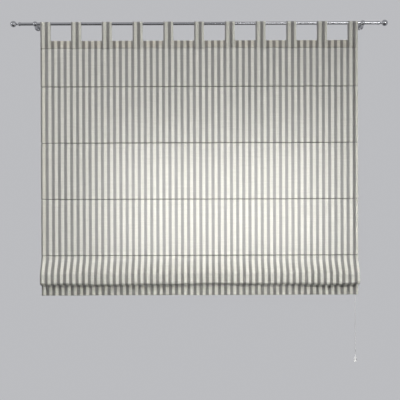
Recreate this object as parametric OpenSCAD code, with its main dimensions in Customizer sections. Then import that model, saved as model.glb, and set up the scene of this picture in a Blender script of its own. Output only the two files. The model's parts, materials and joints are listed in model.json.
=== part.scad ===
// Roman blind with cloth tabs on a curtain rod, partly drawn up.
// The wall is the plane y = 0, the room lies towards -y, and the origin is midway
// between the two brackets at the height of the curtain rod.

/* [Curtain rod] */
// Outer diameter of the rod
rod_d = 16; // [12:1:25]
// Wall of the rod tube
rod_wall = 1; // [0.6:0.1:2]
// Length of rod beyond each edge of the cloth
rod_overhang = 100; // [60:5:200]
// Distance from the wall to the rod axis
wall_gap = 85; // [60:1:140]

/* [Finials] */
// Diameter of the ball
ball_d = 32; // [22:1:50]
// Diameter of the collar that closes the rod end
collar_d = 19; // [17:0.5:30]
// Length of the collar
collar_len = 9; // [4:0.5:20]
// Diameter of the waist between collar and ball
waist_d = 11; // [8:0.5:15]
// Length of the waist
waist_len = 13; // [8:0.5:25]
// Length of the spigot inside the rod
spigot_len = 22; // [10:1:40]

/* [Brackets] */
// Distance from the edge of the cloth to the middle of a bracket
bracket_outset = 27; // [18:1:45]
// Diameter of the wall plate
plate_d = 38; // [34:1:60]
// Thickness of the wall plate
plate_t = 4; // [2.5:0.5:8]
// Width of the bevel round the face of a wall plate
plate_bevel = 1; // [0.5:0.1:2]
// Height between the two screw holes of a wall plate
plate_hole_gap = 24; // [18:1:28]
// Diameter of the screw holes of a wall plate
plate_hole_d = 4.5; // [3:0.1:6]
// Diameter of the bracket arm
arm_d = 10; // [8:0.5:14]
// Diameter of the collar at the foot of the arm
arm_collar_d = 15; // [14.5:0.5:16]
// Length of the collar at the foot of the arm
arm_collar_len = 4; // [2:0.5:8]
// Diameter of the spigot that holds the arm in the plate
arm_spigot_d = 6; // [4:0.5:8]
// Diameter of the round rod socket
socket_d = 27; // [24:0.5:40]
// Length of the rod socket along the rod
socket_len = 20; // [12:1:24]
// Diameter of the set screw
set_screw_d = 4; // [3:0.5:5]
// Width across the flats of the set screw's hexagon recess
set_screw_key = 2; // [1.5:0.1:2.4]

/* [Cloth] */
// Width of the cloth
blind_w = 1600; // [1000:10:2200]
// Thickness of the cloth
cloth_t = 1.2; // [0.8:0.1:1.6]
// Width of the turned-in side hems
side_hem_w = 25; // [15:1:36]
// How far the hanging cloth leans back over one row pitch
hang_lean = 2; // [1:0.1:3]

/* [Tabs and header] */
// Number of tabs
tab_count = 11; // [7:1:13]
// Width of a tab
tab_w = 50; // [40:1:56]
// Thickness of a tab
tab_t = 1.6; // [1:0.1:2]
// Drop from the rod axis to the top edge of the cloth
tab_drop = 85; // [60:1:120]
// Height of the header, from the top edge to its stitch line
header_h = 39; // [33:1:45]
// Height of the batten in the header
batten_w = 25; // [22:1:26]
// Thickness of the batten
batten_t = 5; // [4.5:0.5:8]
// Distance from the edge of the cloth to the end of the batten
batten_inset = 5; // [2:1:8]

/* [Rows] */
// Drop from the stitch line of the header to the first row
first_drop = 194; // [140:1:240]
// Distance from row to row while the cloth hangs flat
row_pitch = 284; // [230:1:320]
// Depth of the sewn tuck at each row
tuck = 4; // [2:0.5:5]
// Length over which the cloth comes out of a tuck
tuck_top_len = 18; // [12:1:30]
// Length over which the cloth goes into a tuck
tuck_bottom_len = 9; // [6:1:14]
// Diameter of the stiffener rods
stiffener_d = 5; // [4:0.5:6]
// Distance from the edge of the cloth to the end of a stiffener
stiffener_inset = 44; // [42:1:55]
// Distance from the edge of the cloth to the end of a pocket
pocket_inset = 40; // [38:1:41]
// Thickness of the pocket tape
pocket_wall = 1; // [0.6:0.1:1.5]
// Distance from the seam to the stiffener's hole
pocket_neck = 3; // [2:0.5:5]

/* [Fold and hem] */
// Height from the fourth row down to the fifth while the fold is drawn up
fold_gap = 54; // [35:1:60]
// How far the fifth row hangs behind the fourth
fold_set = 4.5; // [3.5:0.1:6]
// Drop from the fourth row to the lowest point of the fold
fold_drop = 146.5; // [110:0.5:160]
// How far the fold stands out in front of its row
fold_reach = 45; // [30:1:60]
// Height of the rounded bottom of the fold
fold_round = 16; // [12:1:24]
// Drop from the fifth row to the lower edge of the cloth
hem_drop = 146; // [135:1:200]
// Height of the turned-up hem
hem_turn = 45; // [42:1:60]
// Height of the bar in the hem
bar_w = 25; // [18:1:26]
// Thickness of the bar in the hem
bar_t = 3; // [2:0.5:4]

/* [Rings and cords] */
// Number of cord columns
column_count = 4; // [3:1:4]
// Distance from the edge of the cloth to the outer cord columns
column_inset = 60; // [56:1:65]
// Diameter of a ring at the middle of its wire
ring_d = 11; // [10.5:0.5:14]
// Thickness of the ring wire
ring_wire = 2; // [1.4:0.1:2.4]
// Diameter of the lift cords
cord_d = 1.6; // [1.2:0.1:1.8]
// Distance between neighbouring cords along the header
cord_gap = 2.2; // [1.9:0.1:2.4]
// Drop from the top edge of the cloth to the cords along the header
run_drop = 23; // [20:0.5:24]
// Radius at which a lift cord turns into the header run
cord_bend = 4; // [3:0.5:6]
// Diameter of a screw eye's shank
eye_shank_d = 2.4; // [1.8:0.1:3]
// Depth of screw eyes and lock screws in the batten
batten_bite = 4; // [3:0.5:4.2]

/* [Cord lock] */
// Width of the lock housing
lock_w = 25; // [23:1:28]
// Height of the lock housing
lock_h = 40; // [38:1:50]
// Height of the screwed flange above the housing
lock_flange_h = 12; // [10:0.5:13]
// Thickness of the lock's base
lock_base_t = 9; // [8:0.5:14]
// Clear depth inside the lock
lock_depth = 14; // [12:0.5:18]
// Wall of the lock housing
lock_wall = 2; // [1.5:0.1:3]
// Height from the cords up to the top of the housing
lock_head = 8; // [6:0.5:9]
// Diameter of the guide pin
guide_d = 8; // [6:0.5:9]
// Drop from the guide pin to the cam's pivot
cam_drop = 14; // [13:0.5:16]
// Distance from the pull cord to the cam's pivot
cam_offset = 11; // [10:0.5:12]
// Diameter of the cam's boss
cam_boss_d = 8; // [6:0.5:10]
// Diameter of the cam pin
cam_pin_d = 3; // [2:0.5:4]
// Number of teeth on the cam
cam_teeth = 6; // [4:1:9]
// Depth of the cam's teeth
cam_tooth = 0.8; // [0.4:0.1:1.2]
// Diameter of the lock screws
lock_screw_d = 3; // [2.5:0.1:3.5]
// Diameter of the lock screws' heads
lock_screw_head_d = 6; // [5:0.5:7]
// Height of the lock screws' heads
lock_screw_head_h = 2; // [1.5:0.1:3]
// Width and depth of the slot in a lock screw's head
lock_screw_slot = 0.9; // [0.6:0.1:1.2]

/* [Pull cord] */
// Distance from the edge of the cloth to the pull cord
pull_inset = 13; // [12:0.5:15]
// Diameter of the pull cord
pull_d = 2; // [1.6:0.1:3]
// Drop from the lock to the cord joiner
strand_drop = 290; // [270:1:320]
// Diameter of the cord joiner
joiner_d = 11; // [10:0.5:12]
// Length of the cord joiner
joiner_len = 30; // [20:1:40]
// Diameter of the bell at its lower rim
bell_d = 18; // [14:0.5:22]
// Diameter of the bell at its top
bell_top_d = 8; // [6:0.5:10]
// Height of the bell
bell_h = 23; // [18:0.5:30]
// Diameter and depth of the recess for the knot in the bell
bell_knot = 5; // [3.5:0.5:6]

/* [Hidden] */
$fn = 48;
// Clearance of pieces that seat on each other
fit = 0.1;
// Clearance between neighbouring pieces of cloth
seam = 0.3;
// Clearance of pins in their bores
pin_fit = 0.05;
// Clearance of the cloth loops round what they hold
loop_play = 0.3;
// Overrun of every cut
over = 1;
// Shares of the fold's height at which it starts and ends to stand out
bulge_start_share = 0.1;
bulge_rise_share = 0.62;
// Share of the collar's radius that its rounded edge takes
collar_round_share = 0.15;
// Share of the bell's flare that opens evenly from the top, the rest opening at the rim
bell_flare_share = 0.35;

// Pull cord's route, from the joiner down to the bell
pull_route = [
    [0, 0, 0], [0, 0, -80], [0, 0, -160], [0, 0, -240], [0, 0, -320], [0, 0, -400],
    [0, 0, -480], [0, 0, -560], [0, 0, -640], [0, 0, -720], [0, 0, -800], [0, 0, -880],
    [0, 0, -960], [0, 0, -1040], [0, 0, -1120], [0, 0, -1180], [0, 0, -1229],
];
// Number of flats round a swept cord
cord_sides = 8;

// Rows that hang below each other, above the drawn-up one
hanging_rows = 4;
row_count = hanging_rows + 1;

edge_x = blind_w/2;
rod_y = -wall_gap;
rod_len = blind_w + 2*rod_overhang;
bracket_x = edge_x + bracket_outset;

top_z = -tab_drop;
stitch_z = top_z - header_h;
header_half = batten_t/2 + loop_play + cloth_t;
header_front_y = rod_y - header_half;
header_back_y = rod_y + header_half;
batten_top_z = top_z - header_half;
batten_bottom_z = batten_top_z - batten_w;
batten_back_y = rod_y + batten_t/2;
cloth_y = header_front_y + cloth_t/2;
tab_pitch = (blind_w - tab_w)/(tab_count - 1);

pocket_bore_r = stiffener_d/2 + loop_play;
pocket_r = pocket_bore_r + pocket_wall;
ring_r = ring_d/2;
ring_reach = ring_r + ring_wire/2;

hem_r = bar_t/2 + loop_play + cloth_t/2;
fold_turn_drop = fold_drop - fold_round;
fold_half = (fold_reach + cloth_t)/2;

run_z = top_z - run_drop;
pull_x = edge_x - pull_inset;
lock_y0 = header_back_y + 2*fit + tab_t;
lock_inner_y = lock_y0 + lock_base_t;
run_y = lock_inner_y + lock_depth/2;
lock_inner_y1 = lock_inner_y + lock_depth;
lock_y1 = lock_inner_y1 + lock_wall;
lock_inner_x1 = pull_x + cord_d/2 + fit;
lock_x1 = lock_inner_x1 + lock_wall;
lock_x0 = lock_x1 - lock_w;
lock_z1 = run_z + lock_head;
lock_z0 = lock_z1 - lock_h;
guide_wrap = guide_d/2 + cord_d/2 + fit;
guide_x = pull_x - guide_wrap;
guide_z = run_z - guide_wrap;
cam_x = pull_x - cam_offset;
cam_z = guide_z - cam_drop;
cam_r = cam_offset - cord_d/2 - seam;
// Angle that the cam's toothed nose spans, in degrees
cam_span = 50;
column_pitch = (blind_w - 2*column_inset)/(column_count - 1);

joiner_z = lock_z0 - strand_drop;
pull_exit = [pull_x, run_y, joiner_z - joiner_len];
bell_top = pull_exit + pull_route[len(pull_route) - 1];

cream = [0.86, 0.85, 0.80];
white = [0.93, 0.93, 0.92];
steel = [0.75, 0.76, 0.78];
wood = [0.80, 0.68, 0.50];

// Places of the rows: the fifth is drawn up to just under the fourth
function row_z(k) = k > hanging_rows
    ? row_z(hanging_rows) - fold_gap
    : stitch_z - first_drop - (k - 1)*row_pitch;
function row_y(k) = k > hanging_rows
    ? row_y(hanging_rows) + fold_set
    : cloth_y + hang_lean*(first_drop + (k - 1)*row_pitch)/row_pitch;
function seam_y(k) = row_y(k) + tuck + cloth_t/2 + seam;
function stiffener_y(k) = seam_y(k) + pocket_neck + pocket_bore_r;
function ring_y(k) = stiffener_y(k) + pocket_r + fit + ring_reach;
function column_x(i) = column_inset - edge_x + i*column_pitch;
function cord_y(i) = run_y + (i - (column_count - 1)/2)*cord_gap;

// Curves in the section plane, as points of depth and height
function smooth(u) = let(c = max(0, min(1, u))) c*c*(3 - 2*c);
function arc(center, r, from, to, steps) =
    [for (i = [0:steps]) let(a = from + (to - from)*i/steps) center + r*[cos(a), sin(a)]];
function heading(path, i) =
    let(step = path[min(i + 1, len(path) - 1)] - path[max(i - 1, 0)]) step/norm(step);
function beside(path, i, gap) = let(h = heading(path, i)) path[i] + gap*[-h[1], h[0]];

// Flat cloth between two seams, drawn back into a tuck at each seam
function flat_path(z0, y0, z1, y1, top_tuck) =
    let(drop = z0 - z1, free = drop - tuck_top_len - tuck_bottom_len)
    [for (d = concat(
            [for (i = [0:5]) tuck_top_len*i/5],
            [for (i = [1:3]) tuck_top_len + free*i/4],
            [for (i = [5:-1:0]) drop - tuck_bottom_len*i/5]))
        [y0 + (y1 - y0)*d/drop + top_tuck*(1 - smooth(d/tuck_top_len))
            + tuck*(1 - smooth((drop - d)/tuck_bottom_len)), z0 - d]];

// Cloth that hangs forward from the fourth row and turns up to the fifth
function fold_front() =
    [for (i = [0:18]) let(d = seam/2 + (fold_turn_drop - seam/2)*i/18)
        [row_y(hanging_rows) + tuck*(1 - smooth(d/tuck_top_len))
            - fold_reach*smooth((d/fold_turn_drop - bulge_start_share)/bulge_rise_share),
            row_z(hanging_rows) - d]];
function fold_turn() =
    [for (a = [180:18:360])
        [row_y(hanging_rows) - fold_reach + fold_half*(1 + cos(a)),
            row_z(hanging_rows) - fold_turn_drop + fold_round*sin(a)]];
function fold_back() =
    let(start = fold_turn()[10],
        free = row_y(row_count) - cloth_t - seam,
        drop = row_z(row_count) - start[1])
    [for (i = [0:12]) let(d = i < 6 ? drop - (drop - tuck_top_len)*i/6 : tuck_top_len*(12 - i)/6)
        [free + (start[0] - free)*d/drop + tuck*(1 - smooth(d/tuck_top_len)), row_z(row_count) - d]];
function fold_path() = concat(
    fold_front(),
    [for (i = [1:9]) fold_turn()[i]],
    fold_back());

// Hem section: down from the fifth row, round the bar and up again behind it
function hem_face(drop) =
    [for (i = [0:12]) let(d = i < 6 ? tuck_top_len*i/6 : tuck_top_len + (drop - tuck_top_len)*(i - 6)/6)
        [row_y(row_count) + tuck*(1 - smooth(d/tuck_top_len)), row_z(row_count) - d]];
function hem_path() =
    let(turn_z = row_z(row_count) - hem_drop + cloth_t/2 + hem_r,
        back_y = row_y(row_count) + 2*hem_r,
        rise = hem_turn - hem_r,
        close = rise - bar_w)
    concat(
        hem_face(hem_drop - cloth_t/2 - hem_r),
        [for (i = [1:7]) arc([row_y(row_count) + hem_r, turn_z], hem_r, 180, 360, 8)[i]],
        [[back_y, turn_z], [back_y, turn_z + bar_w]],
        [for (i = [1:5]) [back_y - (2*hem_r - cloth_t - seam)*smooth(i/5), turn_z + bar_w + close*i/5]]);

// Header: up the front, over the batten and down to the stitch line behind it
function header_path() =
    let(r = header_half - cloth_t/2, close = batten_bottom_z - stitch_z)
    concat(
        [[cloth_y, stitch_z]],
        arc([rod_y, batten_top_z], r, 180, 0, 10),
        [[rod_y + r, batten_bottom_z]],
        [for (i = [1:5]) [rod_y + r - (2*r - cloth_t - seam)*smooth(i/5), batten_bottom_z - close*i/5]]);

// Tab: up the front of the header, over the rod and down the back of the header
function tab_path() =
    let(side = header_half + fit + tab_t/2,
        r = rod_r_in_tab(),
        swing = 360 + atan2(-tab_drop, -side) - acos(r/norm([side, tab_drop])))
    concat(
        [[rod_y - side, stitch_z], [rod_y - side, top_z]],
        arc([rod_y, 0], r, swing, 180 - swing, 20),
        [[rod_y + side, top_z], [rod_y + side, batten_bottom_z]]);
function rod_r_in_tab() = rod_d/2 + loop_play + tab_t/2;

// Band of even thickness along a path, from one side of it to the other
module ribbon(path, from, to) {
    last = len(path) - 1;
    polygon(concat(
        [for (i = [0:last]) beside(path, i, from)],
        [for (i = [last:-1:0]) beside(path, i, to)]));
}

// Extrudes a section of depth and height along the width of the blind
module across(width) rotate([90, 0, 90]) linear_extrude(width, center = true) children();

// Cylinders along the width and along the depth of the blind
module along_x(len, d) rotate([0, 90, 0]) cylinder(h = len, d = d, center = true);
module along_y(y0, y1, d) translate([0, y0, 0]) rotate([-90, 0, 0]) cylinder(h = y1 - y0, d = d);

// Box between two corners
module block(low, high) translate(low) cube(high - low);

// Cord from one point to another
module strand(from, to, d) {
    run = to - from;
    translate(from)
        rotate([0, acos(run[2]/norm(run)), atan2(run[1], run[0])])
            cylinder(h = norm(run), d = d);
}

// Round cord swept along a route that keeps its depth
module cord_tube(route, d) {
    last = len(route) - 1;
    points = [for (i = [0:last], s = [0:cord_sides - 1])
        let(a = 360*s/cord_sides, across_route = cross(heading(route, i), [0, 1, 0]))
        route[i] + d/2*(cos(a)*across_route + sin(a)*[0, 1, 0])];
    walls = [for (i = [0:last - 1], s = [0:cord_sides - 1]) let(t = (s + 1) % cord_sides)
        [i*cord_sides + s, i*cord_sides + t, (i + 1)*cord_sides + t, (i + 1)*cord_sides + s]];
    start = [for (s = [cord_sides - 1:-1:0]) s];
    end = [for (s = [0:cord_sides - 1]) last*cord_sides + s];
    polyhedron(points, concat([start], walls, [end]));
}

module wire_ring() rotate_extrude() translate([ring_r, 0]) circle(d = ring_wire);

// Cloth with its side hems, from its path in the section plane
module hemmed_cloth(path, hem) {
    across(blind_w) ribbon(path, -cloth_t/2, cloth_t/2);
    for (side = [-1, 1])
        translate([side*(edge_x - side_hem_w/2), 0, 0])
            across(side_hem_w) ribbon(hem, cloth_t/2, 3*cloth_t/2);
}

module curtain_rod() color(steel) translate([0, rod_y, 0]) difference() {
    along_x(rod_len, rod_d);
    along_x(rod_len + 2*over, rod_d - 2*rod_wall);
}

// Finial as a turned piece, its axis along x from the end of the rod
module finial(side) {
    ball_x = collar_len + waist_len + sqrt(pow(ball_d/2, 2) - pow(waist_d/2, 2));
    hollow = (collar_d - waist_d)/2;
    edge = collar_d/2*collar_round_share;
    color(steel)
        translate([side*rod_len/2, rod_y, 0])
            mirror([side < 0 ? 1 : 0, 0, 0])
                rotate([0, 90, 0]) {
                    translate([0, 0, -spigot_len])
                        cylinder(h = spigot_len, d = rod_d - 2*rod_wall - 2*pin_fit);
                    rotate_extrude() polygon(concat(
                        [[0, 0], [collar_d/2 - edge, 0]],
                        arc([collar_d/2 - edge, edge], edge, -90, 0, 4),
                        [[collar_d/2, collar_len]],
                        [for (i = [1:8]) [collar_d/2 - hollow*sin(90*i/8),
                            collar_len + waist_len*(1 - cos(90*i/8))]],
                        [[0, collar_len + waist_len]]));
                    translate([0, 0, ball_x]) sphere(d = ball_d);
                }
}
module finial_left() finial(-1);
module finial_right() finial(1);

module wall_plate(side) color(steel) translate([side*bracket_x, 0, 0]) difference() {
    rotate([90, 0, 0]) rotate_extrude() polygon([
        [0, 0], [plate_d/2, 0], [plate_d/2, plate_t - plate_bevel],
        [plate_d/2 - plate_bevel, plate_t], [0, plate_t]]);
    along_y(-plate_t - over, over, arm_spigot_d + 2*pin_fit);
    for (up = [-1, 1]) translate([0, 0, up*plate_hole_gap/2])
        along_y(-plate_t - over, over, plate_hole_d);
}
module wall_plate_left() wall_plate(-1);
module wall_plate_right() wall_plate(1);

// Arm with the round socket that the rod runs through
module bracket_arm(side) color(steel) translate([side*bracket_x, 0, 0]) difference() {
    union() {
        along_y(-plate_t, -fit, arm_spigot_d);
        along_y(-plate_t - arm_collar_len, -plate_t, arm_collar_d);
        along_y(rod_y, -plate_t, arm_d);
        translate([0, rod_y, 0]) intersection() {
            sphere(d = socket_d);
            along_x(socket_len, socket_d);
        }
    }
    translate([0, rod_y, 0]) along_x(socket_d + 2*over, rod_d + 2*fit);
    translate([0, rod_y, -socket_d]) cylinder(h = socket_d, d = set_screw_d + 2*pin_fit);
}
module bracket_arm_left() bracket_arm(-1);
module bracket_arm_right() bracket_arm(1);

module set_screws() color(steel) for (side = [-1, 1]) {
    low = -sqrt(pow(socket_d/2, 2) - pow(set_screw_d/2, 2));
    high = -rod_d/2 - pin_fit;
    translate([side*bracket_x, rod_y, 0]) difference() {
        translate([0, 0, low]) cylinder(h = high - low, d = set_screw_d);
        translate([0, 0, low - over]) cylinder(h = set_screw_key + over, d = set_screw_key/cos(30), $fn = 6);
    }
}

// Holes that screw eyes and lock screws pass through
module header_holes() {
    for (i = [0:column_count - 1]) translate([eye_x(i), 0, run_z])
        along_y(batten_back_y - batten_bite - fit, run_y, eye_shank_d + 2*fit);
    for (x = lock_screw_x) translate([x, 0, lock_screw_z])
        along_y(batten_back_y - batten_bite - fit, lock_y1, lock_screw_d + 2*fit);
}
function eye_x(i) = column_x(i) + cord_bend + ring_wire;
lock_screw_x = [lock_x0 + lock_screw_head_d, lock_x1 - lock_screw_head_d];
lock_screw_z = lock_z1 + lock_flange_h/2;

module tab(i) color(cream) difference() {
    translate([tab_w/2 - edge_x + (i - 1)*tab_pitch, 0, 0])
        across(tab_w) ribbon(tab_path(), -tab_t/2, tab_t/2);
    header_holes();
}

module cloth_header() color(cream) difference() {
    across(blind_w) ribbon(header_path(), -cloth_t/2, cloth_t/2);
    header_holes();
}

module header_batten() color(wood) difference() {
    block([batten_inset - edge_x, rod_y - batten_t/2, batten_bottom_z],
        [edge_x - batten_inset, batten_back_y, batten_top_z]);
    header_holes();
}

module cord_eyes() color(steel) for (i = [0:column_count - 1]) translate([eye_x(i), 0, run_z]) {
    translate([0, run_y, 0]) rotate([0, 90, 0]) wire_ring();
    along_y(batten_back_y - batten_bite, run_y - ring_r, eye_shank_d);
}

// Lift cords from their columns along the header and over the guide pin
function at_depth(curve, y) = [for (p = curve) [p[0], y, p[1]]];
function header_route(i) = at_depth(concat(
    arc([column_x(i) + cord_bend, run_z - cord_bend], cord_bend, 180, 90, 6),
    arc([guide_x, guide_z], guide_wrap, 90, 0, 6)), cord_y(i));
module header_cords() color(white) for (i = [0:column_count - 1])
    cord_tube(header_route(i), cord_d);

module lock_housing() color(white) difference() {
    union() {
        block([lock_x0, lock_y0, lock_z0], [lock_x1, lock_y1, lock_z1]);
        block([lock_x0, lock_y0, lock_z0], [lock_x1, lock_inner_y, lock_z1 + lock_flange_h]);
    }
    block([lock_x0 - over, lock_inner_y, lock_z0 - over],
        [lock_inner_x1, lock_inner_y1, lock_z1 - lock_wall]);
    translate([guide_x, 0, guide_z]) along_y(lock_y0 - over, lock_y1 + over, guide_d + 2*pin_fit);
    translate([cam_x, 0, cam_z]) along_y(lock_y0 - over, lock_y1 + over, cam_pin_d + 2*pin_fit);
    header_holes();
}

module lock_guide_pin() color(steel) translate([guide_x, 0, guide_z]) along_y(lock_y0, lock_y1, guide_d);
module lock_cam_pin() color(steel) translate([cam_x, 0, cam_z]) along_y(lock_y0, lock_y1, cam_pin_d);

// Cam with a toothed nose that points at the cords from below its pivot
module lock_cam() color(white) translate([cam_x, lock_inner_y1 - seam, cam_z]) rotate([90, 0, 0]) {
    thick = lock_depth - 2*seam;
    difference() {
        union() {
            cylinder(h = thick, d = cam_boss_d);
            linear_extrude(thick) polygon(concat(
                [[0, cam_boss_d/2]],
                [for (i = [0:2*cam_teeth]) let(a = -cam_span*i/(2*cam_teeth))
                    (cam_r - (i % 2)*cam_tooth)*[cos(a), sin(a)]],
                [[-cam_boss_d/2*cos(cam_span), -cam_boss_d/2*sin(cam_span)]]));
        }
        translate([0, 0, -over]) cylinder(h = thick + 2*over, d = cam_pin_d + 2*pin_fit);
    }
}

module lock_screws() color(steel) for (x = lock_screw_x) translate([x, 0, lock_screw_z]) difference() {
    head_y = lock_inner_y + lock_screw_head_h;
    union() {
        along_y(batten_back_y - batten_bite, lock_inner_y, lock_screw_d);
        along_y(lock_inner_y, head_y, lock_screw_head_d);
    }
    block([-lock_screw_head_d, head_y - lock_screw_slot, -lock_screw_slot/2],
        [lock_screw_head_d, head_y + over, lock_screw_slot/2]);
}

// Flat section of cloth that ends in the tuck of row k
module cloth_section(k) {
    first = k == 1;
    path = flat_path(
        first ? stitch_z : row_z(k - 1) - seam/2, first ? cloth_y : row_y(k - 1),
        row_z(k) + seam/2, row_y(k), first ? 0 : tuck);
    color(cream) hemmed_cloth(path, path);
}

module cloth_fold() color(cream) hemmed_cloth(fold_path(), fold_path());

module cloth_hem() color(cream) hemmed_cloth(hem_path(), hem_face(hem_drop - hem_turn - cloth_t));

module bottom_bar() color(steel) translate([0, row_y(row_count) + hem_r, row_z(row_count) - hem_drop])
    block([stiffener_inset - edge_x, -bar_t/2, cloth_t/2 + hem_r],
        [edge_x - stiffener_inset, bar_t/2, cloth_t/2 + hem_r + bar_w]);

// Tape folded round the stiffener of row k and sewn to the seam
module pocket(k) {
    width = blind_w - 2*pocket_inset;
    color(cream) difference() {
        union() {
            across(width) polygon([
                [seam_y(k), row_z(k) - pocket_wall], [stiffener_y(k), row_z(k) - pocket_r],
                [stiffener_y(k), row_z(k) + pocket_r], [seam_y(k), row_z(k) + pocket_wall]]);
            translate([0, stiffener_y(k), row_z(k)]) along_x(width, 2*pocket_r);
        }
        translate([0, stiffener_y(k), row_z(k)]) along_x(width + 2*over, 2*pocket_bore_r);
    }
}

module stiffener(k) color(white) translate([0, stiffener_y(k), row_z(k)])
    along_x(blind_w - 2*stiffener_inset, stiffener_d);

module rings(k) color(white) for (i = [0:column_count - 1])
    translate([column_x(i), ring_y(k), row_z(k)]) wire_ring();

// Lift cords between row k and what is above it
hitch_r = ring_wire/2 + cord_d/2 + fit;
function cord_top(i, k) = k == 1
    ? [column_x(i), cord_y(i), run_z - cord_bend]
    : [column_x(i), ring_y(k - 1), row_z(k - 1) - seam/2];
function cord_foot(i, k) = k == row_count
    ? [column_x(i) + ring_r, ring_y(k), row_z(k) + hitch_r + cord_d/2 + seam]
    : [column_x(i), ring_y(k), row_z(k) + seam/2];
module lift_cords(k) color(white) for (i = [0:column_count - 1])
    strand(cord_top(i, k), cord_foot(i, k), cord_d);

// Cord tied round the wire of each ring of the fifth row
module cord_hitches() color(white) for (i = [0:column_count - 1])
    translate([column_x(i) + ring_r, ring_y(row_count), row_z(row_count)])
        rotate([90, 0, 0]) rotate_extrude() translate([hitch_r, 0]) circle(d = cord_d);

// Cords between the lock and the joiner
module pull_strands() color(white) for (i = [0:column_count - 1])
    strand([pull_x, cord_y(i), guide_z], [pull_x, cord_y(i), joiner_z], cord_d);

// Capsule that ties the lift cords to one pull cord, with a parting groove
module cord_joiner() {
    taper = (joiner_d - bell_top_d)/2;
    color(white) translate([pull_x, run_y, joiner_z]) rotate_extrude() polygon(concat(
        [[0, -joiner_len], [joiner_d/2 - taper, -joiner_len], [joiner_d/2, -joiner_len + 2*taper]],
        [[joiner_d/2, -joiner_len/2 - fit], [joiner_d/2 - seam, -joiner_len/2]],
        [[joiner_d/2, -joiner_len/2 + fit], [joiner_d/2, -taper]],
        arc([joiner_d/2 - taper, -taper], taper, 0, 90, 5),
        [[0, 0]]));
}

module pull_cord() color(white) translate(pull_exit) cord_tube(pull_route, pull_d);

// Bell that weighs the cord down, with a recess for the knot under it
module bell() {
    flare = (bell_d - bell_top_d)/2;
    outer = [for (i = [0:10]) let(u = i/10)
        [bell_top_d/2 + flare*(bell_flare_share*u + (1 - bell_flare_share)*u*u*u), -bell_h*u]];
    color(white) translate(bell_top) rotate_extrude() polygon(concat(
        [[0, 0]],
        outer,
        [[bell_knot/2, -bell_h], [bell_knot/2, bell_knot - bell_h], [0, bell_knot - bell_h]]));
}

curtain_rod();
finial_left();
finial_right();
wall_plate_left();
wall_plate_right();
bracket_arm_left();
bracket_arm_right();
set_screws();
tab(1);  // tab_01
tab(2);  // tab_02
tab(3);  // tab_03
tab(4);  // tab_04
tab(5);  // tab_05
tab(6);  // tab_06
tab(7);  // tab_07
tab(8);  // tab_08
tab(9);  // tab_09
tab(10);  // tab_10
tab(11);  // tab_11
cloth_header();
header_batten();
cord_eyes();
header_cords();
lock_housing();
lock_guide_pin();
lock_cam();
lock_cam_pin();
lock_screws();
cloth_section(1);  // cloth_section_1
cloth_section(2);  // cloth_section_2
cloth_section(3);  // cloth_section_3
cloth_section(4);  // cloth_section_4
cloth_fold();
cloth_hem();
bottom_bar();
pocket(1);  // pocket_1
pocket(2);  // pocket_2
pocket(3);  // pocket_3
pocket(4);  // pocket_4
pocket(5);  // pocket_5
stiffener(1);  // stiffener_1
stiffener(2);  // stiffener_2
stiffener(3);  // stiffener_3
stiffener(4);  // stiffener_4
stiffener(5);  // stiffener_5
rings(1);  // rings_1
rings(2);  // rings_2
rings(3);  // rings_3
rings(4);  // rings_4
rings(5);  // rings_5
lift_cords(1);  // lift_cords_1
lift_cords(2);  // lift_cords_2
lift_cords(3);  // lift_cords_3
lift_cords(4);  // lift_cords_4
lift_cords(5);  // lift_cords_5
cord_hitches();
pull_strands();
cord_joiner();
pull_cord();
bell();
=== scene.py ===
# %% [markdown]
# # A roman blind with tabs on a curtain rod
# This lesson dresses a roman blind that was drawn in CAD first. The CAD model gives every hard piece its
# true size, and the joints along which the rows of cloth are drawn up. Blender adds what CAD leaves
# plain: woven stripes, rolled hems, sewn rows, stitches, braided cords and polished steel. All sizes are
# in metres, the wall plates stand on the plane y = 0, and the origin is midway between them at the height
# of the rod.

import json
import math

import bmesh
import bpy
import numpy as np
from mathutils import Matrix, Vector

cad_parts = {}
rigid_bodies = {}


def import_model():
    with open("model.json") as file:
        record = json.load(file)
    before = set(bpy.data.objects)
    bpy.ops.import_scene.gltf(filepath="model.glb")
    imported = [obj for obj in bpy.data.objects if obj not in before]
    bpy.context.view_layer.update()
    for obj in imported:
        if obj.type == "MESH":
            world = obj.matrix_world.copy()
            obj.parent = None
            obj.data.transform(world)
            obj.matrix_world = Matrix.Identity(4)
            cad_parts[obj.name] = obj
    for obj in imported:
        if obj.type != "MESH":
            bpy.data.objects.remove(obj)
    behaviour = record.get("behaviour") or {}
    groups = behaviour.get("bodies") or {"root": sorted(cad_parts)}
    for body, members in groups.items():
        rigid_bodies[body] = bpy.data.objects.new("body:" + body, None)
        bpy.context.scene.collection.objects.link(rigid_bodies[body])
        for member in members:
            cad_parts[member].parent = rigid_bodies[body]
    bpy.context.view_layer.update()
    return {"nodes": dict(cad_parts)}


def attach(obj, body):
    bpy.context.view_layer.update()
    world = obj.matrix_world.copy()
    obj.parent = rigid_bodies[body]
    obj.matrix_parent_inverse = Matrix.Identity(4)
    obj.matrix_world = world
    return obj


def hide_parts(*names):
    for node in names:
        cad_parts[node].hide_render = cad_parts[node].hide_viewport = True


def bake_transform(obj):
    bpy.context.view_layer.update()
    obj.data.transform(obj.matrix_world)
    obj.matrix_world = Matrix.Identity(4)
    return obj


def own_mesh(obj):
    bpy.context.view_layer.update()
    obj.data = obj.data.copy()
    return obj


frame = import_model()
nodes = frame["nodes"]
scene = bpy.context.scene
scene.view_settings.view_transform = "Standard"

# %% [markdown]
# ## The camera
# The picture looks straight at the blind from about four metres, with the lens level with the middle of
# the cloth, so rows look straight and only the fold at the bottom spreads a little. A long lens does the
# same in Blender: its focal length follows from the distance and from the width that the picture takes
# in. The picture hangs a fifth of a degree off level, which is a turn of the camera about its line of
# sight.

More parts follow.
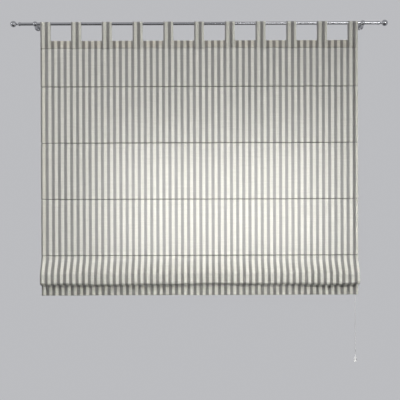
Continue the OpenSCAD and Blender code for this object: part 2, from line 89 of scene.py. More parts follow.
# %% Camera
lens_to_cloth = 4.2
picture_width = 2.017
cloth_front = -0.0884
camera_x, camera_z, camera_roll = 0.0018, -0.8906, 0.2
camera_data = bpy.data.cameras.new("camera")
camera_data.sensor_width = 36
camera_data.lens = camera_data.sensor_width * lens_to_cloth / picture_width
camera = bpy.data.objects.new("camera", camera_data)
camera.location = (camera_x, cloth_front - lens_to_cloth, camera_z)
camera.rotation_euler = (math.radians(90), math.radians(camera_roll), 0)
scene.collection.objects.link(camera)
scene.camera = camera
print("lens", round(camera_data.lens, 1), "mm")

# %% [markdown]
# ## Cords as swept tubes
# A cord could be a Blender curve with a round bevel. Here most cords stretch between two moving rows, and
# only a mesh can be bent between bodies, so each cord is swept as a mesh tube: a ring of points at every
# step of the route, carried along without twisting. The tube also keeps how far round and how far along
# each corner lies in a UV map, because the braid of the cord runs in spirals and needs both.

# %% Mesh from points
crisp_angle = 50


def add_piece(name, mesh, sharp):
    mesh.shade_smooth()
    mesh.set_sharp_from_angle(angle=math.radians(sharp))
    piece = bpy.data.objects.new(name, mesh)
    scene.collection.objects.link(piece)
    return piece


def mesh_object(name, vertices, faces, sharp=crisp_angle):
    mesh = bpy.data.meshes.new(name)
    mesh.from_pydata([tuple(v) for v in vertices], [], faces)
    shape = bmesh.new()
    shape.from_mesh(mesh)
    bmesh.ops.recalc_face_normals(shape, faces=shape.faces)
    shape.to_mesh(mesh)
    shape.free()
    return add_piece(name, mesh, sharp)


print("edges of more than", crisp_angle, "degrees stay crisp")

# %% Tube builder
cord_sides = 10
full_turn = 2 * math.pi


def sweep_rings(route, thickness, sides):
    heading = np.gradient(route, axis=0)
    heading /= np.linalg.norm(heading, axis=1)[:, None]
    lying = abs(heading[0][2]) < 0.9
    side = np.cross(heading[0], (0, 0, 1) if lying else (0, 1, 0))
    points = []
    for i, point in enumerate(route):
        side = side - heading[i] * (side @ heading[i])
        side /= np.linalg.norm(side)
        other = np.cross(heading[i], side)
        for k in range(sides):
            turn = full_turn * k / sides
            points.append(point + thickness / 2 * (math.cos(turn) * side + math.sin(turn) * other))
    return points


def cord_tube(name, routes, thickness, sides=cord_sides):
    vertices, faces, places = [], [], []
    for route in routes:
        route = np.array(route, float)
        along = np.concatenate([[0], np.cumsum(np.linalg.norm(np.diff(route, axis=0), axis=1))])
        first = len(vertices)
        vertices += sweep_rings(route, thickness, sides)
        for i in range(len(route) - 1):
            for k in range(sides):
                a, b = first + i * sides + k, first + i * sides + (k + 1) % sides
                faces.append((a, b, b + sides, a + sides))
                u, v = k / sides, (k + 1) / sides
                places.append([(u, along[i]), (v, along[i]), (v, along[i + 1]), (u, along[i + 1])])
        for ring, way in ((first, -1), (first + (len(route) - 1) * sides, 1)):
            faces.append(tuple(ring + k for k in range(sides))[::way])
            places.append([(0, 0)] * sides)
    mesh = bpy.data.meshes.new(name)
    mesh.from_pydata([tuple(v) for v in vertices], [], faces)
    run = mesh.uv_layers.new(name="run")
    for polygon, corners in zip(mesh.polygons, places):
        for loop, place in zip(polygon.loop_indices, corners):
            run.data[loop].uv = place
    return add_piece(name, mesh, crisp_angle)


def straight(start, end, steps):
    return [tuple(Vector(start).lerp(Vector(end), i / steps)) for i in range(steps + 1)]


print("a cord has", cord_sides, "points round it")

# %% [markdown]
# ## The pull cord
# Four thin lift cords leave the cord lock behind the top of the blind and end in a small joiner. One
# thicker cord goes on from there, straight down behind the cloth, and comes out below the hem with a bell
# on its end. It hangs limp under the bell's weight, so its route is a plumb line, swept at its real
# length. The strands above the joiner run straight from the lock to the joiner.

# %% Pull cord
pull_x, cord_plane = 0.787, -0.0632
pull_d, pull_length = 0.002, 1.229
joiner_low = -0.460
drops = [0, 0.08, 0.16, 0.24, 0.32, 0.40, 0.48, 0.56, 0.64, 0.72, 0.80, 0.88, 0.96, 1.04, 1.12, 1.18]
drops.append(pull_length)
pull_route = [(pull_x, cord_plane, joiner_low - d) for d in drops]
pull_cord = cord_tube("pull_cord_braid", [pull_route], pull_d)
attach(pull_cord, "pull_weight")
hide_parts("pull_cord")
print("pull cord", pull_length, "m")

# %% Strands above the joiner
cord_d, strand_pitch = 0.0016, 0.0022
guide_z, joiner_top = -0.1129, -0.430
cord_planes = [cord_plane + (i - 1.5) * strand_pitch for i in range(4)]
for i, y in enumerate(cord_planes):
    route = straight((pull_x, y, guide_z), (pull_x, y, joiner_top), 30)
    strand = cord_tube(f"pull_strand_{i + 1}", [route], cord_d)
    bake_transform(strand)
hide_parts("pull_strands")

# %% [markdown]
# ## Lift cords
# Behind the cloth, a cord runs up each of four columns of rings, turns at a screw eye and runs along the
# top to the lock. Each stretch between two rows is one piece, swept straight from the row above to the
# row below.

# %% Places of the rows
edge_column, column_pitch = 0.740, 1.48 / 3
column_x = [-edge_column, -edge_column + column_pitch, edge_column - column_pitch, edge_column]
first_stitch, first_drop, row_pitch, fold_gap = -0.124, 0.194, 0.284, 0.054
lean, hem_step, ring_back = 0.002, 0.0045, 0.0211
row_z = [first_stitch - first_drop - k * row_pitch for k in range(4)]
row_z.append(row_z[3] - fold_gap)
row_y = [cloth_front + lean * (first_drop + k * row_pitch) / row_pitch for k in range(4)]
row_y.append(row_y[3] + hem_step)
ring_y = [y + ring_back for y in row_y]
row_body = ["row_1", "row_2", "row_3", "row_4", "hem_row"]
print("rows at", [round(z, 3) for z in row_z])

# %% Lift cords
run_z, cord_bend = -0.108, 0.004
ring_side, knot_up = 0.0055, 0.003
for k in range(5):
    routes = []
    for i, x in enumerate(column_x):
        top = (x, cord_planes[i], run_z - cord_bend) if k == 0 else (x, ring_y[k - 1], row_z[k - 1])
        foot = (x, ring_y[k], row_z[k]) if k < 4 else (x + ring_side, ring_y[k], row_z[k] + knot_up)
        routes.append(straight(top, foot, 24))
    lift = cord_tube(f"lift_cord_{k + 1}", routes, cord_d, sides=8)
    above = "header" if k == 0 else row_body[k - 1]
    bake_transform(lift)
    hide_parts(f"lift_cords_{k + 1}")
print("lift cords", 5, "stretches in", len(column_x), "columns")

# %% Cords along the header
guide_x, guide_wrap = 0.7821, 0.0049
quarter = np.linspace(0, math.pi / 2, 9)
header_routes = []
for x, y in zip(column_x, cord_planes):
    bend = [(x + cord_bend * (1 - math.cos(a)), y, run_z - cord_bend * (1 - math.sin(a))) for a in quarter]
    wrap = [(guide_x + guide_wrap * math.sin(a), y, guide_z + guide_wrap * math.cos(a)) for a in quarter]
    header_routes.append(bend + straight(bend[-1], wrap[0], 30)[1:-1] + wrap)
header_cord = cord_tube("header_cord_run", header_routes, cord_d, sides=8)
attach(header_cord, "header")
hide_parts("header_cords")
print("cords along the header", len(header_routes))

# %% [markdown]
# ## Woven stripes
# The cloth is yarn-dyed cotton: cream and taupe stripes of the same width, woven in, so they show on both
# sides. An image would do, but stripes are a simple function of one coordinate. A sine of x with one wave
# per pair of stripes is cut by a steep ramp into two colours, and a little noise on x frays the edge as
# single yarns do. Slubs, which are thicker bits of yarn, are noise stretched along the yarn. Thin cotton
# lets light through, so the surface is mixed with a Translucent shader of the same colour.


# %% Number helpers
def new_finish(name):
    finish = bpy.data.materials.new(name)
    finish.use_nodes = True
    tree = finish.node_tree
    return finish, tree, tree.nodes["Principled BSDF"]


def object_place(tree):
    return tree.nodes.new("ShaderNodeTexCoord").outputs["Object"]


def math_node(tree, operation, a, b=None, c=None):
    node = tree.nodes.new("ShaderNodeMath")
    node.operation = operation
    for socket, value in zip(node.inputs, (a, b, c)):
        if isinstance(value, (int, float)):
            socket.default_value = value
        elif value is not None:
            tree.links.new(value, socket)
    return node.outputs[0]


def sine(tree, value, rate):
    return math_node(tree, "SINE", math_node(tree, "MULTIPLY", value, rate))


def noise(tree, place, stretch, detail=2.0):
    spread = tree.nodes.new("ShaderNodeMapping")
    spread.inputs["Scale"].default_value = stretch
    tree.links.new(place, spread.inputs["Vector"])
    cloud = tree.nodes.new("ShaderNodeTexNoise")
    cloud.inputs["Scale"].default_value = 1
    cloud.inputs["Detail"].default_value = detail
    tree.links.new(spread.outputs[0], cloud.inputs["Vector"])
    return cloud.outputs["Fac"]


def ramp(tree, value, low, high, to_low=0.0, to_high=1.0, steep=False):
    node = tree.nodes.new("ShaderNodeMapRange")
    node.interpolation_type = "SMOOTHSTEP" if steep else "LINEAR"
    for socket, number in zip(node.inputs[1:5], (low, high, to_low, to_high)):
        socket.default_value = number
    tree.links.new(value, node.inputs[0])
    return node.outputs[0]


print("number helpers:", [helper.__name__ for helper in (math_node, sine, noise, ramp)])


# %% Colour helpers
def mix_colours(tree, share, a, b, how="MIX"):
    node = tree.nodes.new("ShaderNodeMix")
    node.data_type = "RGBA"
    node.blend_type = how
    for socket, value in ((node.inputs[0], share), (node.inputs[6], a), (node.inputs[7], b)):
        if isinstance(value, (int, float, tuple)):
            socket.default_value = value
        else:
            tree.links.new(value, socket)
    return node.outputs[2]


def shaded(tree, colour, shade):
    return mix_colours(tree, 1.0, colour, shade, "MULTIPLY")


def bump(tree, height, distance, strength, under=None):
    node = tree.nodes.new("ShaderNodeBump")
    node.inputs["Distance"].default_value = distance
    node.inputs["Strength"].default_value = strength
    tree.links.new(height, node.inputs["Height"])
    if under is not None:
        tree.links.new(under, node.inputs["Normal"])
    return node.outputs[0]


def mix_shaders(tree, share, first, second):
    both = tree.nodes.new("ShaderNodeMixShader")
    if isinstance(share, float):
        both.inputs[0].default_value = share
    else:
        tree.links.new(share, both.inputs[0])
    tree.links.new(first.outputs[0], both.inputs[1])
    tree.links.new(second.outputs[0], both.inputs[2])
    tree.links.new(both.outputs[0], tree.nodes["Material Output"].inputs["Surface"])


print("colour helpers:", [helper.__name__ for helper in (mix_colours, shaded, bump, mix_shaders)])

# %% Stripes
stripe_pair, stripe_start, fray = 0.031, 0.0075, 0.009
half_width = 0.8
cream, taupe = (0.85, 0.845, 0.775, 1), (0.31, 0.303, 0.294, 1)
cream_lit, taupe_lit = (0.92, 0.915, 0.88, 1), (0.86, 0.855, 0.85, 1)


def stripe_share(tree, place, x):
    loose = ramp(tree, noise(tree, place, (60, 60, 700)), 0.3, 0.7, -fray, fray)
    turns = math_node(tree, "MULTIPLY_ADD", x, 1 / stripe_pair, (half_width - stripe_start) / stripe_pair)
    wave = sine(tree, math_node(tree, "ADD", turns, loose), full_turn)
    return ramp(tree, wave, -0.1, 0.1, steep=True)


print("stripes", round(2 * half_width / stripe_pair, 1), "pairs")

# %% Striped cloth
yarn_pitch = 0.0011


def woven_finish(name, striped, thin_share):
    finish, tree, surface = new_finish(name)
    place = object_place(tree)
    parts = tree.nodes.new("ShaderNodeSeparateXYZ")
    tree.links.new(place, parts.inputs[0])
    x, z = parts.outputs[0], parts.outputs[2]
    colour, lit = cream, cream_lit
    if striped:
        stripe = stripe_share(tree, place, x)
        colour = mix_colours(tree, stripe, taupe, cream)
        lit = mix_colours(tree, stripe, taupe_lit, cream_lit)
    warp = ramp(tree, noise(tree, place, (900, 900, 14)), 0.3, 0.7, 0.93, 1.03)
    weft = ramp(tree, noise(tree, place, (14, 900, 900)), 0.3, 0.7, 0.95, 1.03)
    yarns = math_node(tree, "MULTIPLY", warp, weft)
    tree.links.new(shaded(tree, colour, yarns), surface.inputs["Base Color"])
    surface.inputs["Roughness"].default_value = 0.9
    surface.inputs["Specular IOR Level"].default_value = 0.08
    surface.inputs["Sheen Weight"].default_value = 0.08
    over, under = sine(tree, x, full_turn / yarn_pitch), sine(tree, z, full_turn / yarn_pitch)
    weave = bump(tree, math_node(tree, "MULTIPLY", over, under), 0.0002, 0.3)
    wrinkles = bump(tree, noise(tree, place, (7, 7, 11), 4), 0.004, 0.25, weave)
    tree.links.new(wrinkles, surface.inputs["Normal"])
    through = tree.nodes.new("ShaderNodeBsdfTranslucent")
    tree.links.new(shaded(tree, lit, yarns), through.inputs["Color"])
    mix_shaders(tree, thin_share, surface, through)
    return finish


striped_cotton = woven_finish("striped_cotton", True, 0.5)
tape_cotton = woven_finish("tape_cotton", False, 0.25)
print("cloths", striped_cotton.name, tape_cotton.name)

# %% [markdown]
# ## Cloth as a closed band
# A cloth simulation could drop a sheet from the rod, but this blind is held straight by rods in every
# row, so its section is known. A band is therefore built from two lists: a path of depth and height,
# which is the section of the cloth, and columns across the width. At each side the columns turn round a
# tiny radius and run back behind the cloth, which gives the rolled side hems. Front and back are both
# made, with a rim, so the cloth is a closed thin solid that looks right from the edge too.

# %% Columns across the cloth
hem_width, hem_turn, cut_width = 0.025, 0.0005, 1.65


def plain_columns(x0, x1, count):
    return [(x, 0.0, 0.0, 1.0) for x in np.linspace(x0, x1, count)]


def hemmed_columns(count):
    inner = half_width - hem_turn
    right = []
    for a in np.linspace(math.pi / 2, -math.pi / 2, 7):
        x, lift = inner + hem_turn * math.cos(a), hem_turn * (math.sin(a) - 1)
        right.append((x, lift, math.cos(a), math.sin(a)))
    right += [(x, -2 * hem_turn, 0.0, -1.0) for x in np.linspace(inner, half_width - hem_width, 4)[1:]]
    left = [(-x, lift, -nx, nn) for x, lift, nx, nn in reversed(right)]
    return left + plain_columns(-inner, inner, count)[1:-1] + right


print("cloth cut", cut_width, "m wide")

# %% Band builder
cloth_t = 0.0008


def unit_steps(path):
    step = np.gradient(path, axis=0)
    return step / np.linalg.norm(step, axis=1)[:, None]


def cloth_band(name, path, columns, thick=cloth_t, sway=None):
    path = np.array(path, float)
    step = unit_steps(path)
    facing = np.column_stack([step[:, 1], -step[:, 0]])
    rows, wide = len(path), len(columns)
    vertices = []
    for way in (0.5, -0.5):
        for i in range(rows):
            for x, lift, nx, nn in columns:
                out = lift + nn * thick * way
                dy, dz = sway(x, i / (rows - 1)) if sway else (0, 0)
                y, z = path[i] + facing[i] * out
                vertices.append((x + nx * thick * way, y + dy, z + dz))
    back = rows * wide
    faces = []
    for i in range(rows - 1):
        for j in range(wide - 1):
            a = i * wide + j
            faces.append((a, a + 1, a + wide + 1, a + wide))
            faces.append((back + a, back + a + wide, back + a + wide + 1, back + a + 1))
    border = [(0, j) for j in range(wide)] + [(i, wide - 1) for i in range(1, rows)]
    border += [(rows - 1, j) for j in range(wide - 2, -1, -1)] + [(i, 0) for i in range(rows - 2, 0, -1)]
    rim = [i * wide + j for i, j in border]
    for a, b in zip(rim, rim[1:] + rim[:1]):
        faces.append((b, a, back + a, back + b))
    return mesh_object(name, vertices, faces)


def dress(piece, finish):
    piece.data.materials.append(finish)
    return piece


def cotton_band(name, path, columns, thick=cloth_t, sway=None):
    return dress(cloth_band(name, path, columns, thick, sway), striped_cotton)


print("cloth", cloth_t * 1000, "mm thick")

# %% [markdown]
# ## Stitches
# Every hem and tab is held by a line of stitches about three millimetres long. A bumped line would vanish
# at a glancing angle, so each stitch is a small bead of thread that sinks into the cloth at both ends.

# %% Stitch builder
stitch_sides = 5
stitch_rings = ((0, 0.35), (0.22, 1.0), (0.78, 1.0), (1, 0.35))


def at(line, along, s):
    return np.array([np.interp(s, along, line[:, k]) for k in range(3)])


def stitch_line(name, lines, length=0.0026, pitch=0.0034, wide=0.00045):
    vertices, faces = [], []
    n = stitch_sides
    for line, outs in lines:
        line, outs = np.array(line, float), np.array(outs, float)
        along = np.concatenate([[0], np.cumsum(np.linalg.norm(np.diff(line, axis=0), axis=1))])
        for s in np.arange(pitch / 2, along[-1] - length / 2, pitch):
            start, end = at(line, along, s - length / 2), at(line, along, s + length / 2)
            out = at(outs, along, s)
            side = np.cross((end - start) / np.linalg.norm(end - start), out)
            first = len(vertices)
            for share, size in stitch_rings:
                middle = start + (end - start) * share
                for k in range(n):
                    turn = full_turn * k / n
                    reach = math.cos(turn) * side + math.sin(turn) * out
                    vertices.append(middle + wide / 2 * size * reach)
            last = first + n * (len(stitch_rings) - 1)
            for ring in range(first, last, n):
                for k in range(n):
                    k1 = (k + 1) % n
                    faces.append((ring + k, ring + k1, ring + n + k1, ring + n + k))
            faces.append(tuple(first + k for k in range(n - 1, -1, -1)))
            faces.append(tuple(last + k for k in range(n)))
    return mesh_object(name, vertices, faces, sharp=80)


print("a stitch has", stitch_sides * len(stitch_rings), "points")


# %% Thread
def thread_finish(name, colour):
    finish, tree, surface = new_finish(name)
    twist = ramp(tree, noise(tree, object_place(tree), (2500, 2500, 2500)), 0.3, 0.7, 0.85, 1.05)
    tree.links.new(shaded(tree, colour, twist), surface.inputs["Base Color"])
    surface.inputs["Roughness"].default_value = 0.7
    return finish


sewing_thread = thread_finish("sewing_thread", (0.70, 0.69, 0.64, 1))
# Painted shade: the row thread is near black, so that the sewn seams read as dark shadow lines.
row_thread = thread_finish("row_thread", (0.13, 0.128, 0.124, 1))
print("threads", sewing_thread.name, row_thread.name)

# %% [markdown]
# ## Header and tabs
# The top of the cloth is turned over a wooden batten and sewn down. Eleven double straps are sewn to it,
# each over the rod and down the other side. The section of a tab is two straight legs and the arc round
# the rod that they touch, so the angle of the touching point is worked out from the leg and the radius.

# %% Header
rod_y, top_z, header_r, seam_r = -0.085, -0.085, 0.0034, 0.0026
batten_gap, batten_h, header_close = 0.004, 0.025, 0.0052
batten_top = top_z - batten_gap
batten_low = batten_top - batten_h


def path_length(path):
    return sum(math.dist(a, b) for a, b in zip(path, path[1:]))


header_path = []
for u in np.linspace(1, 0, 7):
    header_path.append((rod_y + header_r - header_close * u, batten_low + (first_stitch - batten_low) * u))
for a in np.linspace(0, math.pi, 13):
    header_path.append((rod_y + header_r * math.cos(a), batten_top + header_r * math.sin(a)))
header_path += [(cloth_front, z) for z in np.linspace(batten_top - 0.004, first_stitch + 0.003, 8)]
for a in np.linspace(0, math.pi / 2, 6)[1:]:
    header_path.append((cloth_front + seam_r * (1 - math.cos(a)), first_stitch + seam_r * (1 - math.sin(a))))
header = cotton_band("header_cloth", header_path, plain_columns(-half_width, half_width, 120))
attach(header, "header")
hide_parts("cloth_header")

# %% Tabs
tab_count, tab_w, tab_t, tab_pitch, first_tab = 11, 0.050, 0.0014, 0.155, -0.775
leg, loop_r = 0.0049, 0.0091
touch = math.pi + math.atan2(-top_z, leg) - math.acos(loop_r / math.hypot(leg, top_z))
tab_path = [(rod_y + leg, z) for z in np.linspace(batten_low, top_z, 6)]
for a in np.linspace(math.pi - touch, touch, 33):
    tab_path.append((rod_y + loop_r * math.cos(a), loop_r * math.sin(a)))
tab_path += [(rod_y - leg, z) for z in np.linspace(top_z, first_stitch, 8)]
tab_x = [first_tab + i * tab_pitch for i in range(tab_count)]
for i, middle in enumerate(tab_x):
    across = plain_columns(middle - tab_w / 2, middle + tab_w / 2, 9)
    strap = cotton_band(f"tab_strap_{i + 1:02d}", tab_path, across, tab_t)
    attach(strap, "header")
    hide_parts(f"tab_{i + 1:02d}")

# %% Header stitches
stitch_in, stitch_out, strap_gap = 0.0025, 0.0001, 0.001
toward_front = (0, -1, 0)
tab_face = rod_y - leg - tab_t / 2 - stitch_out
header_face = cloth_front - cloth_t / 2 - stitch_out
sew_z = first_stitch + stitch_in


def front_line(start, end):
    return [start, end], [toward_front] * 2


tab_lines = []
for i, middle in enumerate(tab_x):
    sides = (middle - (tab_w / 2 - stitch_in), middle + (tab_w / 2 - stitch_in))
    for x in sides:
        tab_lines.append(front_line((x, tab_face, top_z), (x, tab_face, first_stitch + 0.002)))
    tab_lines.append(front_line((sides[0], tab_face, sew_z), (sides[1], tab_face, sew_z)))
    if i < tab_count - 1:
        gap = (middle + tab_w / 2 + strap_gap, middle + tab_pitch - tab_w / 2 - strap_gap)
        tab_lines.append(front_line((gap[0], header_face, sew_z), (gap[1], header_face, sew_z)))
header_stitches = dress(stitch_line("header_stitches", tab_lines), sewing_thread)
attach(header_stitches, "header")
print("stitch lines on the header", len(tab_lines))

# %% [markdown]
# ## Flat sections and sewn rows
# Between two rows the cloth hangs flat. At a row it is pinched back into a seam, which shows from the
# front as a thin dark line: the cloth above rolls back over a small radius, and the cloth below comes out
# from under it. The seam itself is sewn with taupe thread, made near black and wide, which is painted
# shade: it darkens the line as the shadow in the seam would. When the blind is drawn up, each section
# folds in half; here each section is built flat between its rows.

# %% Section of the cloth between two rows
lip_r, seam_half, seam_back, set_back = 0.0030, 0.0014, 0.0062, 0.0030
lip_turn = np.linspace(0, math.pi / 2, 6)
row_settle, header_settle = 0.05, 0.010


def ease(u):
    u = min(1, max(0, u))
    return u * u * (3 - 2 * u)


def lip_down(y, z):
    return [(y + lip_r * (1 - math.sin(a)), z - lip_r * (1 - math.cos(a))) for a in lip_turn]


def lip_back(y, z):
    return [(y + lip_r * (1 - math.cos(a)), z + lip_r * (1 - math.sin(a))) for a in lip_turn]


def flat_section(k):
    if k == 0:
        path, step_in, settle = [], seam_r, header_settle
        top_y, start = cloth_front, first_stitch
    else:
        step_in, settle = set_back, row_settle
        top_y, seam_z = row_y[k - 1], row_z[k - 1] - seam_half
        path = [(top_y + seam_back, seam_z), *lip_down(top_y + set_back, seam_z)[:-1]]
        start = seam_z - lip_r
    low_y, low_z = row_y[k], row_z[k] + seam_half
    for u in [0, 0.004, 0.009, 0.014, *np.linspace(0.022, 1, 40)]:
        z = start + (low_z + lip_r - start) * u
        back = step_in * (1 - ease((start - z) / settle))
        path.append((top_y + (low_y - top_y) * u + back, z))
    return path + lip_back(low_y, low_z)[1:] + [(low_y + seam_back, low_z)]


print("seams", round(2 * seam_half * 1000, 1), "mm high")


# %% Stitches of a section
def side_stitches(name, path, edge_in=0.002):
    path = np.array(path)
    step = unit_steps(path)
    off = cloth_t / 2 + stitch_out
    lines = []
    for x in (-half_width + hem_width - edge_in, half_width - hem_width + edge_in):
        line = [(x, p[0] + s[1] * off, p[1] - s[0] * off) for p, s in zip(path, step)]
        lines.append((line, [(0, s[1], -s[0]) for s in step]))
    return dress(stitch_line(name, lines), sewing_thread)


def row_stitches(k, reach=0.797, sunk=0.0024):
    y = row_y[k] + sunk
    seam = front_line((-reach, y, row_z[k]), (reach, y, row_z[k]))
    # Painted shade: wide beads of the near-black row thread darken the seam line as its shadow would.
    piece = stitch_line(f"row_stitches_{k + 1}", [seam], length=0.0033, wide=0.0018)
    return dress(piece, row_thread)


print("stitch helpers:", [helper.__name__ for helper in (side_stitches, row_stitches)])

# %% Sections
columns = hemmed_columns(110)
for k in range(4):
    path = flat_section(k)
    above = "header" if k == 0 else row_body[k - 1]
    section = cotton_band(f"cloth_flat_{k + 1}", path, columns)
    sewing = side_stitches(f"side_stitches_{k + 1}", path[6:-7] if k else path[:-7])
    for piece in (section, sewing):
        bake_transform(piece)
    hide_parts(f"cloth_section_{k + 1}")
    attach(row_stitches(k), row_body[k])
    print("section", k + 1, "cut", round(path_length(path), 3), "m long")

# %% [markdown]
# ## The fold at the bottom
# The last row is drawn up to just under the one above, so the cloth between them stands out in a soft
# fold. Its front swings out of the seam in one smooth curve and turns up in a rounded bottom, and its
# lower edge waves a little, because cloth never hangs quite even. The fold is made in two pieces that
# meet at the back of the rounded bottom: the front rides with the fourth row, and the back hangs from
# there to the hem row.

# %% Section of the fold
fold_reach, fold_drop, fold_round, fold_behind = 0.045, 0.1465, 0.016, 0.0012
fold_settle, swing_start, swing_span = 0.03, 0.1, 0.62
seam_curl, curl_drop, free_gap = 0.004, 0.018, 0.0015
turn_drop = fold_drop - fold_round
fold_half = (fold_reach + fold_behind) / 2
fold_top, turn_z = row_z[3] - seam_half, row_z[3] - turn_drop
front_path = [(row_y[3] + seam_back, fold_top), *lip_down(row_y[3] + set_back, fold_top)[:-1]]
for u in np.linspace(0, 1, 40):
    drop = lip_r + (turn_drop - lip_r) * u
    back = set_back * (1 - ease(drop / fold_settle))
    swing = fold_reach * ease((drop / turn_drop - swing_start) / swing_span)
    front_path.append((row_y[3] + back - swing, row_z[3] - drop))
for a in np.linspace(0, math.pi, 21)[1:]:
    y = row_y[3] - fold_reach + fold_half * (1 - math.cos(a))
    front_path.append((y, turn_z - fold_round * math.sin(a)))
start_y, free_y = front_path[-1][0], row_y[4] - free_gap
back_drop = row_z[4] - turn_z
back_path = []
for u in np.linspace(0, 1, 30):
    drop = back_drop * (1 - u)
    curl = seam_curl * (1 - ease(drop / curl_drop))
    back_path.append((free_y + (start_y - free_y) * (1 - u) + curl, row_z[4] - drop))


# %% Fold
def fold_sway(x, along):
    loose = ease((along - 0.25) / 0.35) * (1 - ease((along - 0.8) / 0.2))
    wave = math.sin(7.1 * x + 0.6) + 0.6 * math.sin(13.7 * x + 2.0) + 0.35 * math.sin(29 * x + 4.1)
    return 0.0018 * loose * wave, 0.0016 * loose * (math.sin(5.3 * x + 1.1) + 0.5 * math.sin(17 * x))


fold_front = cotton_band("fold_front", front_path, columns, sway=fold_sway)
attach(fold_front, "row_4")
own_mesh(fold_front)
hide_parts("cloth_fold")
fold_back = cotton_band("fold_back", back_path, columns)
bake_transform(fold_back)
print("fold pieces", fold_front.name, fold_back.name)

# %% [markdown]
# ## The hem
# Below the last row the cloth hangs to its lower edge, turns up behind a flat bar that weighs it down,
# and is sewn to itself. It is one band whose path goes down, round the bar and up again. Its lower edge
# sways a little, only downwards, so that the bar stays inside.

# %% Section of the hem
hem_drop, hem_rise, hem_r, bar_w = 0.146, 0.045, 0.0024, 0.025
sewn_gap, seam_gap, hem_sag = 0.0021, 0.0002, 0.0006
front_y, hem_top = row_y[4], row_z[4] - seam_gap
low_z = row_z[4] - hem_drop - hem_sag + hem_r
hem_path = []
for d in np.linspace(0, curl_drop, 9):
    hem_path.append((front_y + seam_curl * (1 - ease(d / curl_drop)), hem_top - d))
hem_path += [(front_y, z) for z in np.linspace(hem_top - curl_drop, low_z, 22)[1:]]
for a in np.linspace(0, math.pi, 11)[1:]:
    hem_path.append((front_y + hem_r * (1 - math.cos(a)), low_z - hem_r * math.sin(a)))
hem_path += [(front_y + 2 * hem_r, low_z + bar_w * u) for u in (0.3, 0.65, 1)]
rise = hem_rise - hem_r - bar_w
for u in np.linspace(0, 1, 8)[1:]:
    hem_path.append((front_y + 2 * hem_r - (2 * hem_r - sewn_gap) * ease(u), low_z + bar_w + rise * u))

# %% Hem
hem_stitch_in, hem_stitch_half = 0.003, 0.795


def hem_sway(x, along):
    return 0.0, -hem_sag * ease(along / 0.5) * (1 + 0.6 * math.sin(6.3 * x) + 0.4 * math.sin(19 * x + 1))


hem = cotton_band("hem_cloth", hem_path, columns, sway=hem_sway)
hem_z = low_z + hem_rise - hem_r - hem_stitch_in
hem_face = front_y - cloth_t / 2 - stitch_out
hem_line = [(x, hem_face, hem_z) for x in np.linspace(-hem_stitch_half, hem_stitch_half, 40)]
hem_stitches = stitch_line("hem_stitches", [(hem_line, [toward_front] * 40)])
dress(hem_stitches, sewing_thread)
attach(hem, "hem_row")
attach(hem_stitches, "hem_row")
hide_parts("cloth_hem")
print("hem sewn at", round(hem_z, 3), "m")

# %% [markdown]
# ## Rod pockets and rings behind the cloth
# A tape is folded round each stiffening rod and sewn into the seam of its row. Seen from behind it is a
# soft tube with a flat neck, a little puckered between the stitches. The rings that guide the cords are
# tied to it with a few turns of thread.

# %% Pockets
rod_back, tube_r, tube_turn, tape_t, pocket_half = 0.0107, 0.0034, 2.1, 0.0006, 0.76
tape_neck = [(0.0062, 0.0006), (0.0072, 0.0012)]


def pucker(x, along):
    round_rod = math.sin(math.pi * along)
    return 0.00018 * round_rod * math.sin(full_turn * x / 0.021), 0.00012 * math.sin(full_turn * x / 0.027)


def pocket_tape(k):
    y, z = row_y[k], row_z[k]
    path = [(y + back, z + half) for back, half in tape_neck]
    for a in np.linspace(tube_turn, -tube_turn, 25):
        path.append((y + rod_back + tube_r * math.cos(a), z + tube_r * math.sin(a)))
    path += [(y + back, z - half) for back, half in reversed(tape_neck)]
    across = plain_columns(-pocket_half, pocket_half, 300)
    band = cloth_band(f"pocket_tape_{k + 1}", path, across, tape_t, pucker)
    return dress(band, tape_cotton)


print("pockets", 2 * pocket_half, "m long")

# %% Ring ties
tie_r, thread_r, tie_back = 0.0017, 0.00032, 0.0042
tie_turns = (-0.0012, -0.0004, 0.0004, 0.0012)


def ring_of_thread(x, y, z, around=14, sides=6):
    vertices, faces = [], []
    for i in range(around):
        a = full_turn * i / around
        for k in range(sides):
            b = full_turn * k / sides
            reach = tie_r + thread_r * math.cos(b)
            vertices.append((x + thread_r * math.sin(b), y + reach * math.cos(a), z + reach * math.sin(a)))
            i1, k1 = (i + 1) % around, (k + 1) % sides
            faces.append((i * sides + k, i1 * sides + k, i1 * sides + k1, i * sides + k1))
    return vertices, faces


def ring_ties(k):
    vertices, faces = [], []
    for x in column_x:
        for turn in tie_turns:
            some, more = ring_of_thread(x + turn, row_y[k] + rod_back + tie_back, row_z[k])
            faces += [tuple(f + len(vertices) for f in face) for face in more]
            vertices += some
    return dress(mesh_object(f"ring_ties_{k + 1}", vertices, faces, sharp=80), sewing_thread)


for k in range(5):
    pocket = pocket_tape(k)
    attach(pocket, row_body[k])
    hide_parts(f"pocket_{k + 1}")
    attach(ring_ties(k), row_body[k])
print("pockets", 5, "ring ties", 5 * len(column_x))

# %% [markdown]
# ## Knots
# Each lift cord is tied to a ring of the last row: a loop round the ring and three turns round itself.
# The pull cord ends in a knot under the bell. A knot is a short piece of the same cord, so it is swept
# like one.

# %% Knots
loop_wide, loop_deep, loop_turn = 0.0019, 0.0004, 2.7
hitch_r, hitch_d, hitch_low, hitch_high = 0.0015, 0.0015, 0.0030, 0.0078
bell_low, bell_knot_r, bell_knot_d, knot_in, knot_out = -1.712, 0.0013, 0.0019, 0.0045, 0.0008


def coil(x, y, radius, z0, z1, turns=3, steps=20):
    end = full_turn * turns
    sweep = np.linspace(0, end, steps * turns + 1)
    return [(x + radius * math.cos(a), y + radius * math.sin(a), z0 + (z1 - z0) * a / end) for a in sweep]


